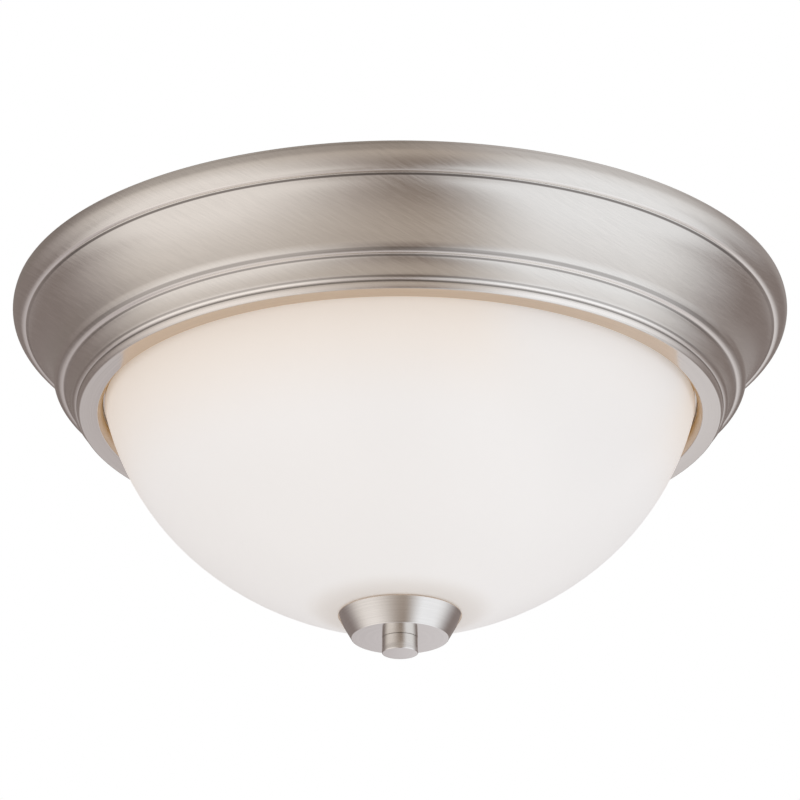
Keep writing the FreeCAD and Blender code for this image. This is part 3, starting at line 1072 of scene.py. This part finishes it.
@dataclass
class Bowl:
    """Opal glass bowl and the soft bushing in its hole."""

    rim: Point = (127.3, -44.9)
    wall: float = 3.0
    join: Point = (87.3, -108.3)
    join_slope: float = 39.8
    foot: Point = (26.1, -137.15)
    hole: Point = (6.6, -138.8)
    bushing_bore_r: float = 5.2

    def surface(self, inset: float) -> tuple[Point, Point, Point, float, float]:
        """Points of the bowl's surface at a depth in the glass.

        Args:
            inset: Depth under the outside.

        Returns:
            Rim, join and foot, and how far the shoulder and crown arcs stand off their chords.
        """
        slope = math.radians(self.join_slope)
        rim = (self.rim[0] - inset, self.rim[1])
        join = (self.join[0] - inset * math.sin(slope), self.join[1] + inset * math.cos(slope))
        foot = (self.foot[0], self.foot[1] + inset)

        def stand_off(end: Point, angle: float) -> float:
            """Height of the arc that leaves the join at an angle and ends at a point."""
            chord = math.atan2(end[1] - join[1], end[0] - join[0])
            return math.dist(join, end) / 2 * math.tan((chord - angle) / 2)

        return rim, join, foot, stand_off(rim, slope), stand_off(foot, slope - math.pi)

    def outline(self) -> Outline:
        """Walk down the outside, round the hole and up the inside.

        Returns:
            The outline.
        """
        rim, join, foot, shoulder, crown = self.surface(0.0)
        walk = Outline((rim[0] - 0.5, rim[1]), chord=3.0)
        walk.arc((rim[0] - 0.15, rim[1] - 0.15), (rim[0], rim[1] - 0.5))
        walk.bulge(join, -shoulder).bulge(foot, crown).bulge(self.hole, -0.25)
        rim, join, foot, shoulder, crown = self.surface(self.wall)
        walk.line((self.hole[0], self.hole[1] + self.wall))
        return walk.bulge(foot, 0.25).bulge(join, -crown).bulge(rim, shoulder)

    def grommet(self) -> Outline:
        """Section of the bushing: a neck in the hole between two flanges.

        Returns:
            The outline.
        """
        bore, neck = self.bushing_bore_r, self.hole[0] - 0.1
        low, high = self.hole[1], self.hole[1] + self.wall
        walk = Outline((bore, low - 1.5)).line((neck + 1.6, low - 1.5))
        walk.arc((neck + 2.3, low - 1.1), (neck + 2.4, low - 0.15))
        walk.line((neck, low - 0.15), (neck, high + 0.15), (neck + 2.4, high + 0.15))
        return walk.arc((neck + 2.3, high + 1.1), (neck + 1.6, high + 1.5)).line((bore, high + 1.5))

    def build(self) -> None:
        """Turn and dress both pieces."""
        glass = turn("opal_bowl", self.outline(), steps=256)
        soften(glass, 35)
        hand_over(glass, "shade", "opal_glass", opal, "glass_bowl")
        bushing = turn("hole_bushing", self.grommet(), steps=64)
        soften(bushing, 35)
        hand_over(bushing, "shade", "grommet_rubber", soft_rubber, "bowl_grommet")


@dataclass
class Finial:
    """Conical cup and the round knob that draws it up."""

    rim: Point = (26.1, -137.6)
    disc: Point = (20.5, -147.9)
    wall: float = 0.9
    knob_r: float = 7.6
    knob_z: float = -154.6
    shank_r: float = 6.4
    shank_top: float = -141.9
    shank_play: float = 0.15
    bore_r: float = 4.92
    blind: float = 1.2

    def cup(self) -> Outline:
        """Section of the cup.

        Returns:
            The outline.
        """
        rim_r, rim_z = self.rim
        disc_r, disc_z = self.disc
        hole_r, floor_z = self.shank_r + self.shank_play, disc_z + self.wall
        walk = Outline((rim_r - 0.4, rim_z), chord=12.0)
        walk.arc((rim_r - 0.07, rim_z - 0.1), (rim_r, rim_z - 0.4))
        walk.line((disc_r + 0.15, disc_z + 0.35)).arc((disc_r, disc_z + 0.1), (disc_r - 0.3, disc_z))
        return walk.line((hole_r, disc_z), (hole_r, floor_z), (disc_r - 1.0, floor_z),
                         (rim_r - 1.2, rim_z - 1.0), (rim_r - 0.9, rim_z))

    def knob(self) -> Outline:
        """Section of the knob, its shank and blind bore.

        Returns:
            The outline.
        """
        knob_r, low, top = self.knob_r, self.knob_z, self.disc[1] - 0.05
        floor_z = low + self.blind
        walk = Outline((0, low), chord=12.0).line((knob_r - 0.45, low))
        walk.arc((knob_r - 0.13, low + 0.13), (knob_r, low + 0.45)).line((knob_r, top - 0.2))
        walk.arc((knob_r - 0.06, top - 0.06), (knob_r - 0.2, top))
        return walk.line((self.shank_r, top), (self.shank_r, self.shank_top), (self.bore_r, self.shank_top),
                         (self.bore_r, floor_z), (0, floor_z))

    def build(self) -> None:
        """Turn and dress both pieces."""
        cup = turn("finial_cone", self.cup())
        soften(cup, 30)
        hand_over(cup, "finial", "brushed_nickel", turned_nickel, "finial_cup")
        knob = turn("finial_button", self.knob(), steps=128, ring=False)
        soften(knob, 30)
        hand_over(knob, "knob", "brushed_nickel", turned_nickel, "finial_knob")


# ---- hanging hardware ----


@dataclass
class Hardware:
    """Threaded rod and wool pad, made here, and the nuts, bars and screws kept from the part."""

    rod_r: float = 4.85
    thread_depth: float = 0.55
    thread_pitch: float = 0.94
    rod_top: float = -0.1
    rod_foot: float = -152.4
    plain_foot: float = 0.6
    plain_top: float = 0.8
    bore_r: float = 2.9
    pad_inner_r: float = 57.0
    pad_outer_r: float = 110.0
    pad_top: float = -3.0
    pad_foot: float = -13.2
    pad_edge: float = 3.0
    pad_bands: int = 16
    tuft_size: float = 0.006
    tuft_height: float = 0.0016
    tuft_level: float = 0.55

    def rod(self) -> Thing:
        """Hollow core with a helical thread round it.

        Returns:
            The rod.
        """
        root, top, foot = self.rod_r - self.thread_depth, self.rod_top, self.rod_foot
        core = Outline((self.bore_r, top)).line((root - 0.4, top), (root, top - 0.5), (root, foot + 0.5),
                                                (root - 0.4, foot), (self.bore_r, foot))
        tube = turn("hanging_rod", core, steps=48)
        soften(tube, 40)
        turns = int((top - foot - (self.plain_foot + self.plain_top)) / self.thread_pitch)
        thread = Thread(root - 0.05, self.rod_r, self.thread_pitch, turns, foot + self.plain_foot,
                        rolled=False, steps=28).build("rod_thread", UPRIGHT)
        soften(thread, 30)
        join(tube, thread)
        return tube

    def pad(self) -> Thing:
        """Ring of glass wool, its faces cut into bands and pushed up and down into tufts.

        Returns:
            The pad.
        """
        mid = (self.pad_top + self.pad_foot) / 2
        low, high = self.pad_foot + 0.4, self.pad_top - 0.6
        inner, outer = self.pad_inner_r + self.pad_edge, self.pad_outer_r - self.pad_edge
        span = self.pad_outer_r - self.pad_inner_r - 2 * self.pad_edge
        steps = [span * i / self.pad_bands for i in range(1, self.pad_bands + 1)]
        walk = Outline((inner, low), chord=20.0).line(*((inner + step, low) for step in steps))
        walk.arc((self.pad_outer_r - 0.6, mid), (outer, high)).line(*((outer - step, high) for step in steps))
        walk.arc((self.pad_inner_r + 0.6, mid), (inner, low))
        walk.points.pop()
        pad = turn("wool_pad", walk, steps=180)
        tufts = bpy.data.textures.new("wool tufts", "CLOUDS")
        tufts.noise_scale = self.tuft_size
        tufts.noise_depth = 3
        modify(pad, "DISPLACE", texture=tufts, texture_coords="LOCAL", strength=self.tuft_height,
               mid_level=self.tuft_level)
        soften(pad, 60)
        return pad

    def build(self) -> None:
        """Make the rod and the pad and dress the rest."""
        hand_over(self.rod(), "canopy", "zinc_steel", zinc, "centre_rod")
        hand_over(self.pad(), "canopy", "fibre_mat", wool, "insulation_pad")
        keep(zinc, "crossbar", "rod_nuts", "tooth_washer", "bracket_rivets")
        keep(earth_green, "ground_screw")
        keep(nylon, "wire_bushing")


# ---- lamps ----


@dataclass
class Lamp:
    """Porcelain lamp holder and the bulb screwed into it. The rear lamp is the front one half a turn round.

    Lengths run along the lamp, the holder's from its back and the bulb's from its tip.
    """

    axis_y: float = -40.0
    axis_z: float = -50.0
    back_x: float = -90.8
    holder_length: float = 36.0
    holder_back_r: float = 16.5
    holder_mouth_r: float = 19.0
    bore_r: float = 14.1
    bore_depth: float = 28.0
    tip_x: float = -81.4
    bulb_length: float = 106.0
    bulb_r: float = 30.0
    glass: float = 1.0
    neck_start: float = 24.5
    neck: tuple[Point, ...] = ((15.6, 38.0), (23.4, 53.5), (28.3, 64.5))
    neck_inside: tuple[Point, ...] = ((27.35, 64.8), (22.6, 54.1), (14.8, 38.6))
    cap_r: float = 13.05
    cap_foot: float = 2.6
    cap_length: float = 23.0
    pitch: float = 3.63
    thread_turns: int = 4

    def spindle(self, x: float) -> Spindle:
        """The lamp's axis with its zero at x."""
        return Spindle(Vector((x, self.axis_y, self.axis_z)), ACROSS, UP)

    def holder(self) -> Thing:
        """Porcelain body, open towards the bulb.

        Returns:
            The body.
        """
        back, mouth, length, bore = self.holder_back_r, self.holder_mouth_r, self.holder_length, self.bore_r
        floor = length - self.bore_depth
        walk = Outline((0, 0)).line((back - 1, 0)).arc((back - 0.3, 0.3), (back, 1)).line((back, 9))
        walk.arc((back + 0.7, 11.2), (mouth, 12.5)).line((mouth, length - 1.5))
        walk.arc((mouth - 0.45, length - 0.45), (mouth - 1.5, length)).line((bore + 0.8, length))
        walk.arc((bore + 0.23, length - 0.23), (bore, length - 0.8)).line((bore, floor), (0, floor))
        body = turn("porcelain_front", walk, self.spindle(self.back_x), steps=96, ring=False)
        soften(body, 35)
        return body

    def envelope(self) -> Thing:
        """Pear-shaped glass with its wall.

        Returns:
            The envelope.
        """
        centre = self.bulb_length - self.bulb_r
        inner = self.bulb_r - self.glass
        slant = math.sin(math.pi / 4)
        lower, waist, upper = self.neck
        walk = Outline((self.cap_r - 1.6, self.neck_start)).arc(lower, waist)
        walk.arc(upper, (self.bulb_r, centre))
        walk.arc((self.bulb_r * slant, centre + self.bulb_r * slant), (0, self.bulb_length))
        walk.line((0, self.bulb_length - self.glass))
        upper, waist, lower = self.neck_inside
        walk.arc((inner * slant, centre + inner * slant), (inner, centre))
        walk.arc(upper, waist).arc(lower, (self.cap_r - 2.6, self.neck_start))
        envelope = turn("bulb_front_glass", walk, self.spindle(self.tip_x), steps=96)
        soften(envelope, 40)
        return envelope

    def cap(self) -> Thing:
        """Drawn cap with a rolled helical thread.

        Returns:
            The cap.
        """
        low, high = self.cap_foot, self.cap_foot + self.cap_length
        cap_r, root = self.cap_r, self.cap_r - 0.75
        walk = Outline((cap_r - 3.0, low)).line((cap_r - 1.9, low))
        walk.arc((cap_r - 1.1, low + 0.4), (root, low + 1.6)).line((root, high - 1.2))
        walk.arc((root + 0.1, high - 0.4), (cap_r - 0.3, high))
        walk.line((cap_r - 1.25, high), (cap_r - 1.35, low + 2.4), (cap_r - 3.0, low + 1.0))
        shell = turn("bulb_front_cap", walk, self.spindle(self.tip_x), steps=72)
        soften(shell, 35)
        thread = Thread(root - 0.06, cap_r, self.pitch, self.thread_turns, low + 2.2,
                        rolled=True, steps=48).build("cap_thread", self.spindle(self.tip_x))
        soften(thread, 40)
        join(shell, thread)
        return shell

    def build(self) -> None:
        """Make the front lamp's pieces and copy each one to the rear."""
        bulbs = ("bulb_front", "bulb_rear")
        makes = ((self.holder, "porcelain_rear", ("canopy", "canopy"), "porcelain", glaze, "socket_body"),
                 (self.envelope, "bulb_rear_glass", bulbs, "frosted_glass", bulb_frost, "bulb_glass"),
                 (self.cap, "bulb_rear_cap", bulbs, "bulb_aluminium", aluminium, "bulb_cap"))
        for make, rear_name, (front_body, rear_body), slot, finish, node in makes:
            front = make()
            rear = half_turn(front, rear_name)
            hand_over(front, front_body, slot, finish, node + "_front")
            hand_over(rear, rear_body, slot, finish, node + "_rear")
        for side in ("_front", "_rear"):
            keep(zinc, "socket_bracket" + side, "socket_screws" + side)
            keep(brass, "socket_shell" + side, "socket_contact" + side)
            keep(black_glass, "bulb_insulator" + side)
            keep(tin, "bulb_contact" + side)


# ---- studio ----


@dataclass(frozen=True)
class Wall:
    """Bright side of the room, by degrees round the part from the camera's side.

    Above is how much of it is left over the part.
    """

    colour: Shade
    start: float
    full: float
    fade: float
    end: float
    above: float


@dataclass(frozen=True)
class SoftLight:
    """Large square soft light that faces the part; its place and size are in metres, its power in watts."""

    name: str
    place: Triple
    size: float
    power: float
    colour: Shade
    aim: Triple = (0, 0, -0.07)

    def build(self) -> None:
        """Hang the light, hidden from mirrors."""
        data = bpy.data.lights.new(self.name, "AREA")
        data.size = self.size
        data.energy = self.power
        data.color = self.colour
        light = bpy.data.objects.new(self.name, data)
        light.visible_glossy = False
        light.location = self.place
        light.rotation_euler = (Vector(self.aim) - Vector(self.place)).to_track_quat("-Z", "Y").to_euler()
        bpy.context.scene.collection.objects.link(light)


@dataclass
class Studio:
    """Camera at the photograph's angle, pale floor, a bright room and two large soft lights.

    The room is painted by the direction that a ray takes; each zone runs from where a tone starts to where
    it is full, along one axis of that direction.
    """

    focal_px: float = 3355.0
    frame_px: float = 800.0
    sensor: float = 36.0
    below: float = 23.137
    distance: float = 1452.4
    aim_z: float = -38.96
    floor_z: float = -2600.0
    floor_r: float = 4000.0
    right_wall: Wall = Wall((1.03, 1.06, 1.11), 8.0, 50.0, 76.0, 134.0, 0.80)
    left_wall: Wall = Wall((0.99, 0.95, 0.93), -8.0, 62.0, 72.0, 132.0, 0.55)
    wall_rise: Point = (0.25, -0.6)
    wall_foot: Point = (-1.0, -0.94)
    foot_share: float = 0.3
    wrap: float = 52.0
    wrap_zone: Point = (-0.4, -0.84)
    front: Shade = (0.47, 0.41, 0.36)
    underneath: Shade = (0.27, 0.22, 0.19)
    underneath_zone: Point = (0.1, -0.95)
    rear: Shade = (0.26, 0.22, 0.21)
    rear_zone: Point = (-0.2, 0.4)
    backdrop_left: Shade = (0.56, 0.52, 0.53)
    backdrop_right: Shade = (0.76, 0.74, 0.76)
    backdrop_middle: Point = (0.70, 0.15)
    backdrop_low: Point = (-0.05, -0.28)
    backdrop_far: Point = (0.2, 0.6)
    backdrop_turn: Point = (-0.1, 0.1)
    overhead_left: Shade = (0.24, 0.21, 0.19)
    overhead_right: Shade = (0.46, 0.43, 0.42)
    overhead_turn: Point = (-0.1, 0.4)
    overhead_half: Point = (0.10, 0.40)
    overhead_full: Point = (0.60, 0.85)
    ceiling: Shade = (0.80, 0.79, 0.78)
    soft_lights: tuple[SoftLight, ...] = (
        SoftLight("key_right", (2.4, -1.2, -1.2), 3.0, 2.0, (0.97, 0.99, 1.0)),
        SoftLight("fill_left", (-2.4, -1.2, -1.2), 3.0, 3.6, (1.0, 0.95, 0.9)))

    def camera(self) -> None:
        """Set the camera from the pinhole that fits the photograph."""
        data = bpy.data.cameras.new("camera")
        data.sensor_width = self.sensor
        data.lens = self.focal_px / self.frame_px * data.sensor_width
        data.clip_end = 50.0
        eye = bpy.data.objects.new("camera", data)
        bpy.context.scene.collection.objects.link(eye)
        pitch = math.radians(self.below)
        back, drop = self.distance * math.cos(pitch), self.distance * math.sin(pitch)
        eye.location = Vector((0, -back, self.aim_z - drop)) * MM
        eye.rotation_euler = (math.pi / 2 + pitch, 0, 0)
        bpy.context.scene.camera = eye

    def floor(self) -> None:
        """Pale floor far under the light, as in a room."""
        pick()
        bpy.ops.mesh.primitive_circle_add(vertices=96, radius=self.floor_r * MM, fill_type="NGON",
                                          location=(0, 0, self.floor_z * MM))
        floor = bpy.context.object
        floor.name = "studio_floor"
        dress(floor, Finish("pale floor", (0.80, 0.79, 0.78), 0.6))
        floor.visible_glossy = False

    def gap(self, graph: Writer, x: Socket, y: Socket, z: Socket) -> Socket:
        """Colour of the room between its walls: darker below and behind, with a paler backdrop low down.

        Args:
            graph: The world's writer.
            x: The ray's direction to the right.
            y: Its direction to the back.
            z: Its direction up.

        Returns:
            The colour.
        """
        gap = graph.blend(graph.spread(z, *self.underneath_zone), self.front, self.underneath)
        gap = graph.blend(graph.spread(y, *self.rear_zone), gap, self.rear)
        central = graph.spread(graph.math("ABSOLUTE", x), *self.backdrop_middle)
        lowered = graph.times(graph.spread(z, *self.backdrop_low), graph.spread(y, *self.backdrop_far))
        backdrop = graph.blend(graph.spread(x, *self.backdrop_turn), self.backdrop_left, self.backdrop_right)
        return graph.blend(graph.times(central, lowered), gap, backdrop)

    def share(self, graph: Writer, side: Socket, z: Socket, wall: Wall) -> Socket:
        """How much of a bright wall a ray sees. Low down, the wall wraps further round to the back.

        Args:
            graph: The world's writer.
            side: Angle round the part, in radians.
            z: The ray's direction up.
            wall: The wall.

        Returns:
            Share of the wall's colour.
        """
        start, full, fade, end = (math.radians(edge) for edge in (wall.start, wall.full, wall.fade, wall.end))
        wrap = graph.spread(z, *self.wrap_zone, 0.0, math.radians(self.wrap))
        wrapped = graph.math("SUBTRACT", side, wrap)
        round_it = graph.times(graph.spread(side, start, full), graph.spread(wrapped, fade, end, 1.0, 0.0))
        low = graph.times(round_it, graph.spread(z, *self.wall_foot, self.foot_share, 1.0))
        return graph.times(low, graph.spread(z, *self.wall_rise, wall.above, 1.0))

    def surroundings(self) -> None:
        """White for the camera; for the part, two bright walls with darker gaps between them."""
        world = bpy.data.worlds.new("studio")
        bpy.context.scene.world = world
        world.use_nodes = True
        graph = Writer(world.node_tree)
        x, y, z = graph.split(graph.node("ShaderNodeTexCoord").outputs["Generated"])
        right = graph.math("ARCTAN2", x, graph.times(y, -1.0))
        room = self.gap(graph, x, y, z)
        for side, wall in ((graph.times(right, -1.0), self.left_wall), (right, self.right_wall)):
            room = graph.blend(self.share(graph, side, z, wall), room, wall.colour)
        path = graph.node("ShaderNodeLightPath")
        overhead = graph.blend(graph.spread(x, *self.overhead_turn), self.overhead_left, self.overhead_right)
        overhead = graph.blend(path.outputs["Is Diffuse Ray"], overhead, self.ceiling)
        above = graph.math("MAXIMUM", graph.spread(z, *self.overhead_half, 0.0, 0.5),
                           graph.spread(z, *self.overhead_full))
        room = graph.blend(above, room, overhead)
        seen = graph.blend(path.outputs["Is Camera Ray"], room, (1.0, 1.0, 1.0))
        background = graph.fill(graph.node("ShaderNodeBackground"), Color=seen)
        graph.fill(graph.node("ShaderNodeOutputWorld"), Surface=background.outputs[0])

    def build(self) -> None:
        """Set up the whole studio."""
        bpy.context.scene.view_settings.view_transform = "Standard"
        self.camera()
        self.floor()
        self.surroundings()
        for light in self.soft_lights:
            light.build()


def main() -> None:
    """Build the light from the ceiling down and set up the studio."""
    Studio().build()
    Canopy().build()
    Hardware().build()
    Lamp().build()
    Bowl().build()
    Finial().build()


if __name__ == "__main__":
    main()
